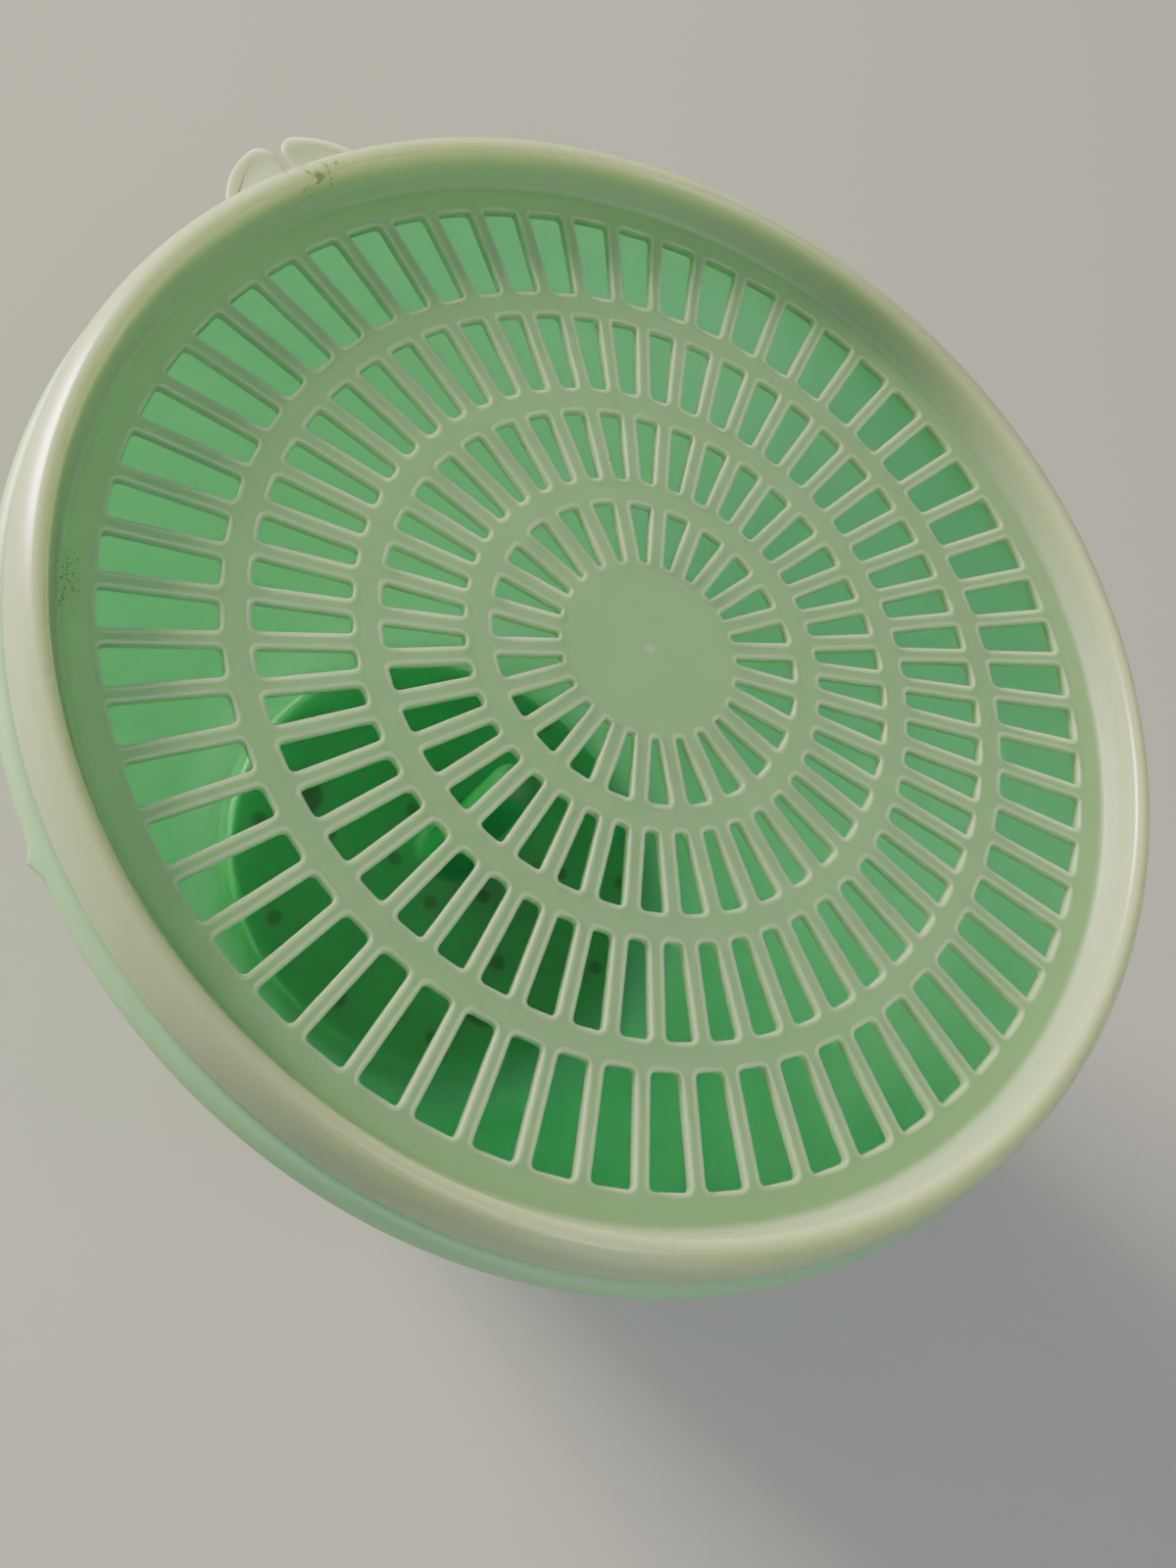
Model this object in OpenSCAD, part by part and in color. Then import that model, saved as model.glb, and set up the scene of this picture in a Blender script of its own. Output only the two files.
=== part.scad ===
// Hand-spun salad bowl: a bowl with a slotted press-on lid that turns on a low ball-bearing base.
// Millimetres, +Z up. The origin is on the axis, in the plane that the feet stand on.

/* [Bowl] */
// Outermost radius, at the bead round the bowl's rim
rim_r = 125; // [104:1:150]
// Depth from the lid's plate down to the bowl's floor
bowl_depth = 134; // [111:1:165]
// Radius of the flat floor inside the bowl
floor_r = 62; // [61:1:75]
// Run of the curve from the floor into the wall
floor_fillet = 10; // [4:1:16]
// How far the wall swells out from a straight cone
wall_swell = 3; // [0:0.5:6]
// Thickness of the bowl's wall and floor
bowl_wall = 2; // [1.6:0.1:2.6]
// Radius of the bead's round edge
bead_r = 3; // [2.5:0.1:3.6]
// Height of the hollow post above the floor
post_h = 58; // [45:1:80]
// Radius of the post at its foot
post_r = 7.5; // [6.8:0.1:10]
// How much slimmer the post is at its top
post_draft = 1.2; // [0:0.1:1.3]
// Wall of the hollow post
post_wall = 1.4; // [1:0.1:1.6]

/* [Lid] */
// Thickness of the slotted plate
plate_t = 2; // [1.4:0.1:2.5]
// Wall of the rolled rim
lid_t = 1.5; // [1.2:0.1:1.8]
// Radius of the rim's rolled outer side
roll_r = 9.1; // [8.4:0.1:10]
// How far the lid stays inside the bowl's bead
lid_inset = 2.3; // [1.5:0.1:3]
// Radius of the small curve over the rim's crest
crest_r = 1.9; // [1.6:0.1:2.4]
// Radius of the plain disc in the middle of the plate
hub_r = 20; // [16:1:26]
// Plain margin between the outer slots and the rim's foot
margin_w = 6.4; // [4:0.1:10]
// Width of the plain rings between the rings of slots
ring_gap = 5.6; // [4:0.1:8]
// How much longer the slots are in each ring than in the one inside it
slot_growth = 2.4; // [0:0.1:4]
// Width of the bars between the slots of the innermost ring
bar_inner = 3.7; // [2.5:0.1:4]
// Width of the bars between the slots of the outermost ring
bar_outer = 3; // [2:0.1:4.5]
// Rounding of the slots' corners
slot_round = 1.3; // [0.6:0.1:2]
// Direction of the pull tab
tab_angle = 129.75; // [0:0.25:360]
// Radius of the pull tab's outline
tab_r = 20.6; // [16:0.1:26]
// How far the pull tab stands out beyond the bead
tab_reach = 9; // [6:0.5:14]
// Width of the slit that parts the tab into two lobes
tab_slit = 2; // [1:0.1:4]
// Thickness of the pull tab
tab_t = 1.4; // [1:0.1:1.6]

/* [Base] */
// Outer radius of the base
base_r = 62; // [58:1:75]
// Thickness of the base's wall and deck
base_wall = 2; // [1.6:0.1:3]
// Height of the hollow under the deck
cavity_h = 4.7; // [4.5:0.1:10]
// Thickness of the bottom cover
cover_t = 1.8; // [1.5:0.1:3]
// How far the feet stand out below the cover
foot_h = 1.5; // [1:0.1:4]
// Radius of a foot
foot_r = 7; // [5:0.5:8]

/* [Bearing] */
// Diameter of the bearing's balls
ball_d = 5; // [4:0.1:6.5]
// Number of balls
ball_count = 12; // [8:1:18]
// Radius of the circle that the balls run on
ball_circle_r = 43; // [38:0.5:46]
// Gap between a ball and its tracks
ball_play = 0.1; // [0.05:0.01:0.2]
// Depth of the track in a race
track_depth = 0.5; // [0.3:0.05:0.8]
// Thickness of a race
race_t = 1.2; // [1:0.1:2]
// Width of a race
race_w = 9; // [8:0.5:11]
// Radius of the spindle
spindle_r = 2; // [1.6:0.1:2.2]
// Running clearance of the spindle in its bushings
bush_play = 0.05; // [0.02:0.01:0.1]
// Wall of a bushing
bush_wall = 1.3; // [0.8:0.1:1.4]
// Length of a bushing
bush_len = 8; // [5:0.5:12]

/* [Turntable] */
// Outer radius of the turntable's disc
carrier_r = 59.5; // [55:0.5:60]
// Thickness of the turntable's disc
carrier_t = 2.2; // [1.9:0.1:3]
// How far the rubber pads stand up above the disc
pad_h = 0.8; // [0.5:0.1:1.5]
// Radius of a rubber pad
pad_r = 5.5; // [4:0.5:7]
// Gap between the turntable's boss and the bowl's post
boss_gap = 0.4; // [0.3:0.05:0.6]

/* [Hidden] */
$fn = 96;
// Slots in each ring of the lid, from the inside out, and the turn of each ring's first slot
SLOTS = [24, 40, 54, 60];
SLOT_TURN = [2.7, -0.3, 0.15, 1.1];
// Circles of moulded pips on the turntable: radius, count, turn
PIPS = [[15.7, 6, 13.4], [34, 6, -2.5], [carrier_r - 6.5, 12, -2.4]];
pip_r = 1.5;
pip_h = 0.7;
pad_turn = 45.3;
pad_count = 3;
pad_circle_r = 44;
foot_count = 4;
screw_count = 4;

// Heights of the base, the bearing and the turntable, from the table up
cover_top = foot_h + cover_t;
deck_z = cover_top + cavity_h;
deck_top = deck_z + base_wall;
race_set = 0.8;
lower_race_z = deck_top - race_set;
ball_z = lower_race_z + race_t - track_depth + ball_play + ball_d / 2;
upper_race_z = ball_z + ball_d / 2 + ball_play - track_depth;
carrier_z = upper_race_z + race_t - race_set;
carrier_top = carrier_z + carrier_t;
bowl_z = carrier_top + pad_h;
floor_z = bowl_z + bowl_wall;
plate_z = floor_z + bowl_depth;

// Section of the lid's rim, as [radius, height]
roll_c = [rim_r - lid_inset - roll_r, plate_z + 1.7];
crest_angle = 55;
crest_c = roll_c + (roll_r - crest_r) * [cos(crest_angle), sin(crest_angle)];
gutter_r = crest_c[0] - crest_r;
gutter_lean = 1.9;
plate_r = gutter_r - gutter_lean;
seat_z = plate_z + 6;
roll_in_r = roll_r - lid_t;
seat_angle = asin((seat_z - roll_c[1]) / roll_in_r);

// Section of the bowl's rim
rim_play = 0.35;
rim_in_r = gutter_r + lid_t + rim_play;
rim_out_r = rim_in_r + bowl_wall;
rim_edge = 0.5;
bead_c = [rim_r - bead_r, plate_z - 5.9];
bead_angle = acos((rim_out_r - bead_c[0]) / bead_r);
shoulder_z = plate_z - 10;
foot_ring_gap = 1;
foot_ring_w = 2.4;
foot_ring_h = 1.5;
foot_ring_r = carrier_r + foot_ring_gap;

// Post, boss and spindle
post_top = floor_z + post_h;
post_top_r = post_r - post_draft;
post_cap_t = 3;
hollow_top = post_top - post_cap_t;
cap_t = 1;
boss_top = hollow_top - 1 - cap_t;
boss_r = post_r - post_wall - boss_gap;
boss_top_r = post_top_r - post_wall - boss_gap;
bush_r = spindle_r + bush_play + bush_wall;
flange_t = 0.7;
hub_top = deck_top + 2;
hub_bottom = deck_z - 0.5;
collar_t = 1;
boss_z = hub_top + collar_t + 0.3 + flange_t;
washer_t = 0.8;
nut_t = 3.2;
nut_af = 7;
nut_z = hub_bottom - washer_t - nut_t;
spindle_top = boss_top - 1.5;
clip_t = 0.7;
clip_z = spindle_top - 2;
clip_groove_r = spindle_r - 0.4;
thrust_t = 0.6;
thrust_z = clip_z - 0.1 - thrust_t;
upper_bush_z = thrust_z - 0.1 - bush_len;
boss_hub_r = boss_r + 3;

// Screws and feet in the bottom cover
cover_r = base_r - base_wall - 0.3;
screw_circle_r = base_r - base_wall - 5;
screw_r = 1.25;
screw_head_r = 2.6;
screw_head_t = 1.1;
screw_boss_r = 3.4;
foot_circle_r = screw_circle_r - 4;
foot_stem_r = 2;
foot_turn = 45;

// Points along an arc, and along a smooth curve from a to b that leans towards k
function arc(c, r, a0, a1, n) =
  [for (i = [0:n]) let (a = a0 + (a1 - a0) * i / n) c + r * [cos(a), sin(a)]];
function curve(a, k, b, n) =
  [for (i = [0:n]) let (t = i / n) (1 - t) * (1 - t) * a + 2 * t * (1 - t) * k + t * t * b];
function reversed(v) = [for (i = [len(v) - 1:-1:0]) v[i]];

module around(count, radius, turn = 0) {
  for (i = [0:count - 1])
    rotate([0, 0, turn + i * 360 / count])
      translate([radius, 0, 0])
        children();
}

module ring(r_in, r_out, z0, z1) {
  translate([0, 0, z0])
    difference() {
      cylinder(r = r_out, h = z1 - z0);
      translate([0, 0, -1])
        cylinder(r = r_in, h = z1 - z0 + 2);
    }
}

// ---- Base ----

module base_shell() {
  edge = 2.5;
  race_in = ball_circle_r - race_w / 2;
  race_out = ball_circle_r + race_w / 2;
  inner_r = base_r - base_wall;
  section = concat(
    [[base_r, foot_h - 0.5]],
    arc([base_r - edge, deck_top - edge], edge, 0, 90, 6),
    [
      [race_out, deck_top], [race_out, lower_race_z], [race_in, lower_race_z], [race_in, deck_top],
      [9, deck_top], [8, hub_top], [spindle_r, hub_top], [spindle_r, hub_bottom],
      [8, hub_bottom], [8, deck_z], [inner_r, deck_z], [inner_r, foot_h - 0.5]
    ]
  );
  color("darkgreen")
    difference() {
      union() {
        rotate_extrude()
          polygon(section);
        around(screw_count, screw_circle_r)
          translate([0, 0, cover_top])
            cylinder(r = screw_boss_r, h = deck_z - cover_top + 0.5, $fn = 48);
        around(8, 10, 22.5)
          translate([0, -0.7, cover_top + 1])
            cube([inner_r - 9.5, 1.4, deck_z - cover_top - 0.5]);
      }
      around(screw_count, screw_circle_r)
        translate([0, 0, cover_top - 1])
          cylinder(r = screw_r, h = 5, $fn = 32);
    }
}

module base_cover() {
  color("darkolivegreen")
    difference() {
      translate([0, 0, foot_h])
        cylinder(r = cover_r, h = cover_t);
      around(screw_count, screw_circle_r) {
        translate([0, 0, foot_h - 1])
          cylinder(r = screw_r + 0.2, h = cover_t + 2, $fn = 32);
        translate([0, 0, foot_h - 1])
          cylinder(r = screw_head_r + 0.2, h = screw_head_t + 1, $fn = 32);
      }
      around(foot_count, foot_circle_r, foot_turn)
        translate([0, 0, foot_h - 1])
          cylinder(r = foot_stem_r, h = cover_t + 2, $fn = 32);
    }
}

module cover_screws() {
  color("silver")
    around(screw_count, screw_circle_r)
      difference() {
        union() {
          translate([0, 0, foot_h + 0.1])
            cylinder(r = screw_head_r, h = screw_head_t - 0.1, $fn = 32);
          translate([0, 0, foot_h + screw_head_t])
            cylinder(r = screw_r, h = cover_t - screw_head_t + 3.5, $fn = 32);
        }
        for (a = [0, 90])
          rotate([0, 0, a])
            translate([-1.6, -0.35, foot_h - 0.5])
              cube([3.2, 0.7, 1.2]);
      }
}

module non_slip_feet() {
  color("dimgray")
    around(foot_count, foot_circle_r, foot_turn)
      rotate_extrude($fn = 64)
        polygon(concat(
          [[0, 0]],
          curve([foot_r - 0.8, 0], [foot_r, 0], [foot_r, 0.8], 3),
          [
            [foot_r, foot_h], [foot_stem_r, foot_h], [foot_stem_r, cover_top],
            [foot_stem_r + 0.8, cover_top], [foot_stem_r - 0.4, cover_top + 0.9], [0, cover_top + 0.9]
          ]
        ));
}

// ---- Spindle and its fasteners, which stand still with the base ----

module spindle() {
  color("gainsboro")
    rotate_extrude($fn = 64)
      polygon([
        [0, nut_z], [spindle_r - 0.4, nut_z], [spindle_r, nut_z + 0.4],
        [spindle_r, hub_top], [spindle_r + 3, hub_top], [spindle_r + 3, hub_top + collar_t],
        [spindle_r, hub_top + collar_t], [spindle_r, clip_z - 0.02], [clip_groove_r, clip_z - 0.02],
        [clip_groove_r, clip_z + clip_t + 0.02], [spindle_r, clip_z + clip_t + 0.02],
        [spindle_r, spindle_top - 0.4], [spindle_r - 0.4, spindle_top], [0, spindle_top]
      ]);
}

module spindle_washer() {
  color("silver")
    ring(spindle_r + 0.1, spindle_r + 2.5, hub_bottom - washer_t, hub_bottom);
}

module spindle_nut() {
  color("silver")
    translate([0, 0, nut_z])
      difference() {
        cylinder(d = nut_af / cos(30), h = nut_t, $fn = 6);
        translate([0, 0, -1])
          cylinder(r = spindle_r, h = nut_t + 2, $fn = 48);
      }
}

module thrust_washer() {
  color("ivory")
    ring(spindle_r + 0.1, bush_r - 0.2, thrust_z, thrust_z + thrust_t);
}

module retaining_clip() {
  color("dimgray")
    difference() {
      ring(clip_groove_r, bush_r - 0.25, clip_z, clip_z + clip_t);
      translate([0, -clip_groove_r * 0.8, clip_z - 1])
        cube([bush_r, clip_groove_r * 1.6, clip_t + 2]);
    }
}

// ---- Ball bearing ----

module race(z, track_z) {
  color("silver")
    rotate_extrude($fn = 128)
      difference() {
        translate([ball_circle_r - race_w / 2, z])
          square([race_w, race_t]);
        translate([ball_circle_r, track_z])
          circle(r = ball_d / 2 + ball_play, $fn = 64);
      }
}

module lower_race() {
  race(lower_race_z, ball_z);
}

module upper_race() {
  race(upper_race_z, ball_z);
}

module ball_cage() {
  half_w = ball_d / 2 + 1.3;
  half_h = ball_d / 4;
  color("ivory")
    difference() {
      ring(ball_circle_r - half_w, ball_circle_r + half_w, ball_z - half_h, ball_z + half_h);
      around(ball_count, ball_circle_r)
        translate([0, 0, ball_z - half_h - 1])
          cylinder(r = ball_d / 2 + 0.1, h = 2 * half_h + 2, $fn = 48);
    }
}

module bearing_balls() {
  color("gainsboro")
    around(ball_count, ball_circle_r)
      translate([0, 0, ball_z])
        sphere(d = ball_d, $fn = 32);
}

// ---- Turntable ----

module turntable_disc() {
  race_in = ball_circle_r - race_w / 2;
  race_out = ball_circle_r + race_w / 2;
  skirt_in_r = carrier_r - 1.6;
  skirt_z = deck_top + 1;
  edge = 1.2;
  section = concat(
    [
      [bush_r, boss_z], [boss_hub_r, boss_z], [boss_hub_r, carrier_z],
      [race_in, carrier_z], [race_in, carrier_z + race_set], [race_out, carrier_z + race_set],
      [race_out, carrier_z], [skirt_in_r, carrier_z], [skirt_in_r, skirt_z], [carrier_r, skirt_z]
    ],
    arc([carrier_r - edge, carrier_top - edge], edge, 0, 90, 4),
    [
      [boss_r + 0.6, carrier_top], [boss_r, bowl_z], [boss_top_r, boss_top], [bush_r, boss_top]
    ]
  );
  color("darkgreen")
    difference() {
      union() {
        rotate_extrude()
          polygon(section);
        for (p = PIPS)
          around(p[1], p[0], p[2])
            translate([0, 0, carrier_top - 0.5])
              cylinder(r = pip_r, h = pip_h + 0.5, $fn = 32);
        around(6, boss_hub_r - 0.5, 30)
          translate([0, -0.7, carrier_z - 1.4])
            cube([race_in - boss_hub_r - 0.5, 1.4, 1.9]);
      }
      around(pad_count, pad_circle_r, pad_turn)
        translate([0, 0, carrier_top - 0.6])
          cylinder(r = pad_r + 0.05, h = 2, $fn = 64);
    }
}

module lower_bushing() {
  color("peru") {
    difference() {
      union() {
        ring(0.5, bush_r, boss_z, boss_z + bush_len);
        ring(0.5, bush_r + 1.2, boss_z - flange_t, boss_z);
      }
      translate([0, 0, boss_z - flange_t - 1])
        cylinder(r = spindle_r + bush_play, h = bush_len + flange_t + 2);
    }
  }
}

module upper_bushing() {
  color("peru")
    ring(spindle_r + bush_play, bush_r, upper_bush_z, upper_bush_z + bush_len);
}

module boss_cap() {
  color("darkgreen") {
    translate([0, 0, boss_top])
      cylinder(r = boss_top_r, h = cap_t);
    translate([0, 0, boss_top - 1])
      cylinder(r = bush_r, h = 1.5);
  }
}

module grip_pads() {
  color("dimgray")
    around(pad_count, pad_circle_r, pad_turn)
      translate([0, 0, carrier_top - 0.6])
        cylinder(r = pad_r, h = pad_h + 0.6, $fn = 64);
}

// ---- Bowl ----

// Floor curve and wall, moved out by the distance o
function wall_line(o) =
  let (
    corner = [floor_r + floor_fillet + 0.7 * o, floor_z - o],
    top = [rim_in_r + o, shoulder_z - 0.3 * o],
    along = (top - corner) / norm(top - corner),
    lean = (corner + top) / 2 + 2 * wall_swell * [along[1], -along[0]],
    start = corner + 1.2 * floor_fillet * (lean - corner) / norm(lean - corner)
  )
  concat(curve([floor_r, floor_z - o], corner, start, 6), curve(start, lean, top, 8));

module bowl() {
  section = concat(
    curve([0, post_top], [post_top_r, post_top], [post_top_r, post_top - post_top_r], 6),
    curve([post_r, floor_z + 2.5], [post_r, floor_z], [post_r + 2.5, floor_z], 4),
    wall_line(0),
    [
      [rim_in_r, seat_z - rim_edge], [rim_in_r + rim_edge, seat_z],
      [rim_out_r - rim_edge, seat_z], [rim_out_r, seat_z - rim_edge]
    ],
    arc(bead_c, bead_r, bead_angle, -bead_angle, 14),
    reversed(wall_line(bowl_wall)),
    [
      [foot_ring_r + foot_ring_w, bowl_z], [foot_ring_r + foot_ring_w, bowl_z - foot_ring_h],
      [foot_ring_r, bowl_z - foot_ring_h], [foot_ring_r, bowl_z],
      [post_r - post_wall, bowl_z], [post_top_r - post_wall, hollow_top], [0, hollow_top]
    ]
  );
  color("mediumseagreen")
    rotate_extrude($fn = 180)
      polygon(section);
}

// ---- Lid ----

slot_area = plate_r - margin_w - hub_r - 3 * ring_gap;
function slot_len(i) = slot_area / 4 + (i - 1.5) * slot_growth;
function slot_in(i) = i == 0 ? hub_r : slot_in(i - 1) + slot_len(i - 1) + ring_gap;
function bar_w(i) = bar_inner + (bar_outer - bar_inner) * i / 3;

// Corner of a slot at radius r, beside a bar of width w whose middle lies at the angle a
function slot_corner(r, a, w) =
  let (t = sqrt(r * r - w * w / 4)) t * [cos(a), sin(a)] + w / 2 * [sin(a), -cos(a)];
function mirrored(v) = [for (p = reversed(v)) [p[0], -p[1]]];

// One slot on the X axis: straight sides along its bars, and rounded corners
function slot_outline(r0, r1, a, w) =
  let (
    p0 = slot_corner(r0, a, w),
    p1 = slot_corner(r1, a, w),
    side = (p1 - p0) / norm(p1 - p0),
    c0 = min(slot_round, 0.9 * p0[1]),
    c1 = min(slot_round, 0.9 * p1[1]),
    half = concat(
      curve([p0[0], p0[1] - c0], p0, p0 + c0 * side, 2),
      curve(p1 - c1 * side, p1, [r1 * cos(asin((p1[1] - c1) / r1)), p1[1] - c1], 2)
    )
  )
  concat(half, mirrored(half));

module slots() {
  for (i = [0:3])
    for (k = [0:SLOTS[i] - 1])
      rotate(SLOT_TURN[i] + k * 360 / SLOTS[i])
        polygon(slot_outline(slot_in(i), slot_in(i) + slot_len(i), 180 / SLOTS[i], bar_w(i)));
}

// One lobe of the pull tab, beside the slit that lies along X
module tab_lobe() {
  nose_r = 3.5;
  c = rim_r + tab_reach - tab_r;
  y = tab_slit / 2 + nose_r;
  nose = [c + sqrt(pow(tab_r - nose_r, 2) - y * y), y];
  a_nose = atan2(y, nose[0] - c);
  inner = roll_c[0] + roll_r * cos(24) - 0.7;
  a_end = acos((inner - c) / tab_r);
  polygon(concat(
    [[inner, tab_slit / 2]],
    arc(nose, nose_r, -90, a_nose, 6),
    arc([c, 0], tab_r, a_nose, a_end, 10)
  ));
}

module strainer_lid() {
  join_r = plate_r - 3;
  foot_round = 0.9;
  foot = [plate_r, plate_z];
  wall_top = [gutter_r, seat_z - 0.1];
  up = (wall_top - foot) / norm(wall_top - foot);
  section = concat(
    [
      [join_r - 1, plate_z - plate_t], [plate_r + 0.9, plate_z - plate_t],
      [plate_r + lid_t, plate_z], [gutter_r + lid_t, seat_z]
    ],
    arc(roll_c, roll_in_r, seat_angle, -26, 8),
    arc(roll_c, roll_r, -24, crest_angle, 12),
    arc(crest_c, crest_r, crest_angle, 180, 8),
    [wall_top],
    curve(foot + foot_round * up, foot, foot - [foot_round, 0], 3),
    [[join_r - 1, plate_z]]
  );
  color("honeydew") {
    translate([0, 0, plate_z - plate_t])
      linear_extrude(height = plate_t)
        difference() {
          circle(r = join_r, $fn = 180);
          slots();
        }
    rotate_extrude($fn = 180)
      polygon(section);
    translate([0, 0, bead_c[1] + bead_r + 0.3])
      linear_extrude(height = tab_t)
        rotate(tab_angle) {
          tab_lobe();
          mirror([0, 1])
            tab_lobe();
        }
  }
}

base_shell();
base_cover();
cover_screws();
non_slip_feet();
spindle();
spindle_washer();
spindle_nut();
thrust_washer();
retaining_clip();
lower_race();
ball_cage();
bearing_balls();
upper_race();
turntable_disc();
lower_bushing();
upper_bushing();
boss_cap();
grip_pads();
bowl();
strainer_lid();
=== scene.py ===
# Salad spinner: a green bowl with a slotted press-on lid, which is spun by hand on a low ball-bearing base.
from math import acos, asin, atan2, cos, pi, radians, sin, sqrt

import bmesh
import bpy
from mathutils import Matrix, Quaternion, Vector


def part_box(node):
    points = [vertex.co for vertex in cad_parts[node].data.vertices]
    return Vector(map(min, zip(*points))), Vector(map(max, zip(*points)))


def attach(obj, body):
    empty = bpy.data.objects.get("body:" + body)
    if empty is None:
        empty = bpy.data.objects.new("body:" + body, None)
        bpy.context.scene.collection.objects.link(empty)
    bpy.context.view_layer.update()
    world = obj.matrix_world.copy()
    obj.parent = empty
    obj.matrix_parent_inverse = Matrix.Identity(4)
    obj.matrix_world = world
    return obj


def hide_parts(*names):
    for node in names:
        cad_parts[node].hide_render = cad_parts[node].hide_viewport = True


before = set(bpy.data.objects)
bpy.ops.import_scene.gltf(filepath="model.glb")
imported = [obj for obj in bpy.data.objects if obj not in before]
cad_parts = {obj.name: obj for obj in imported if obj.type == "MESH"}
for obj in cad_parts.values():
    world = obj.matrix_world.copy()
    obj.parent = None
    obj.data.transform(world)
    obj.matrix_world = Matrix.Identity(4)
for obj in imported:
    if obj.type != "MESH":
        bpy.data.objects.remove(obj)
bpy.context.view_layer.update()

# ---- Camera ----
# Looks down through the lid from the front left. It is held rolled to the left, close enough
# that the rim nearly fills the width.
MM = 0.001
rim_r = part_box("bowl")[1].x
plate_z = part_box("strainer_lid")[1].z - 9.5 * MM  # the slotted plate lies this far below the rim's crest

lid_middle = Vector((0, 0, plate_z))
eye = Vector((-0.9219, -1.1166, 1.9304)) * rim_r + lid_middle  # both are in rim radii
aim = Vector((-0.1099, -0.2564, 0)) * rim_r + lid_middle
camera = bpy.data.objects.new("camera", bpy.data.cameras.new("camera"))
bpy.context.scene.collection.objects.link(camera)
camera.data.lens = 33.86
camera.data.sensor_width = 36
camera.location = eye
camera.rotation_mode = "QUATERNION"
roll = Quaternion((0, 0, 1), radians(47.9))
camera.rotation_quaternion = (aim - eye).to_track_quat("-Z", "Y") @ roll
bpy.context.scene.camera = camera

# ---- Light ----
# A broad warm key from the left, a cool overhead fill, and a soft pale surround.
bowl_middle = Vector((0, 0, plate_z * 0.6))


def lamp(name, place, size, power, tint):
    """A square soft light that points at the middle of the bowl."""
    light = bpy.data.lights.new(name, "AREA")
    light.size = size
    light.energy = power
    light.color = tint
    holder = bpy.data.objects.new(name, light)
    holder.location = place
    holder.rotation_mode = "QUATERNION"
    holder.rotation_quaternion = (bowl_middle - Vector(place)).to_track_quat("-Z", "Y")
    bpy.context.scene.collection.objects.link(holder)


lamp("key_light", (-2.7, 2.1, 0.75), 1.2, 550, (1.0, 0.92, 0.62))
lamp("top_light", (0.2, -0.6, 1.4), 0.7, 6, (0.95, 0.97, 1.0))
lamp("side_light", (0.35, -1.2, 0.3), 0.5, 1.5, (0.80, 0.95, 1.0))
lamp("rim_light", (0.3, -1.0, 0.9), 0.16, 2.2, (1.0, 1.0, 1.0))

surround = bpy.data.worlds.new("surround")
bpy.context.scene.world = surround
surround.use_nodes = True
surround.node_tree.nodes["Background"].inputs["Color"].default_value = (0.80, 0.79, 0.82, 1)
surround.node_tree.nodes["Background"].inputs["Strength"].default_value = 0.34

# ---- Table top ----
# A plain pale matt surface that the spinner stands on; it isn't part of the object.


def linear(code):
    """An sRGB hex colour such as "#a0b0c0" as the linear colour that a shader takes."""
    channels = [int(code[i:i + 2], 16) / 255 for i in (1, 3, 5)]
    return [c / 12.92 if c <= 0.04045 else ((c + 0.055) / 1.055) ** 2.4 for c in channels] + [1]


def node(tree, kind, inputs=None, **settings):
    """Add a shader node with its settings; an input is a plain value or another node's output."""
    made = tree.nodes.new("ShaderNode" + kind)
    for name, value in settings.items():
        setattr(made, name, value)
    for name, value in (inputs or {}).items():
        if isinstance(value, bpy.types.NodeSocket):
            tree.links.new(value, made.inputs[name])
        else:
            made.inputs[name].default_value = value
    return made


def new_material(name):
    """An empty node material and its tree."""
    material = bpy.data.materials.new(name)
    material.use_nodes = True
    material.node_tree.nodes.clear()
    return material, material.node_tree


def painted_board():
    """Matt emulsion on board: even, pale, with a faint roller texture."""
    material, tree = new_material("painted_board")
    place = node(tree, "TexCoord").outputs["Object"]
    stipple = node(tree, "TexNoise", {"Vector": place, "Scale": 260, "Detail": 3})
    bump = node(tree, "Bump", {"Height": stipple.outputs["Fac"], "Strength": 0.05, "Distance": 0.2 * MM})
    shader = node(tree, "BsdfPrincipled", {
        "Base Color": linear("#b1aeae"), "Roughness": 0.62, "Normal": bump.outputs["Normal"]})
    node(tree, "OutputMaterial", {"Surface": shader.outputs["BSDF"]})
    return material


bpy.ops.object.select_all(action="DESELECT")
bpy.ops.mesh.primitive_plane_add(size=6)
table_top = bpy.context.object
table_top.name = "table_top"
table_top.data.materials.append(painted_board())

# ---- Base ----
# The standing base: a dark green polypropylene shell with a spark-textured skin, a cover screwed on
# from below with four zinc-plated screws, and four rubber feet pushed through the cover.


def dress(material, *names):
    """Give every slot of the named CAD pieces this material."""
    for name in names:
        slots = bpy.data.objects[name].data.materials
        for place in range(len(slots)):
            slots[place] = material


def textured_polypropylene(name, dark, light):
    """Polypropylene moulded with a fine spark-eroded texture: matt green, a little shinier in patches."""
    material, tree = new_material(name)
    place = node(tree, "TexCoord").outputs["Object"]
    cloud = node(tree, "TexNoise", {"Vector": place, "Scale": 45, "Detail": 4})
    tint = node(tree, "Mix", {
        "Factor": cloud.outputs["Fac"], "A": linear(dark), "B": linear(light)}, data_type="RGBA")
    rough = node(tree, "MapRange", {"Value": cloud.outputs["Fac"], "To Min": 0.42, "To Max": 0.58})
    spark = node(tree, "TexNoise", {"Vector": place, "Scale": 1600, "Detail": 3, "Roughness": 0.6})
    bump = node(tree, "Bump", {"Height": spark.outputs["Fac"], "Strength": 0.25, "Distance": 0.06 * MM})
    shader = node(tree, "BsdfPrincipled", {
        "Base Color": tint.outputs["Result"], "Roughness": rough.outputs["Result"], "IOR": 1.49,
        "Normal": bump.outputs["Normal"]})
    node(tree, "OutputMaterial", {"Surface": shader.outputs["BSDF"]})
    return material


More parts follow.
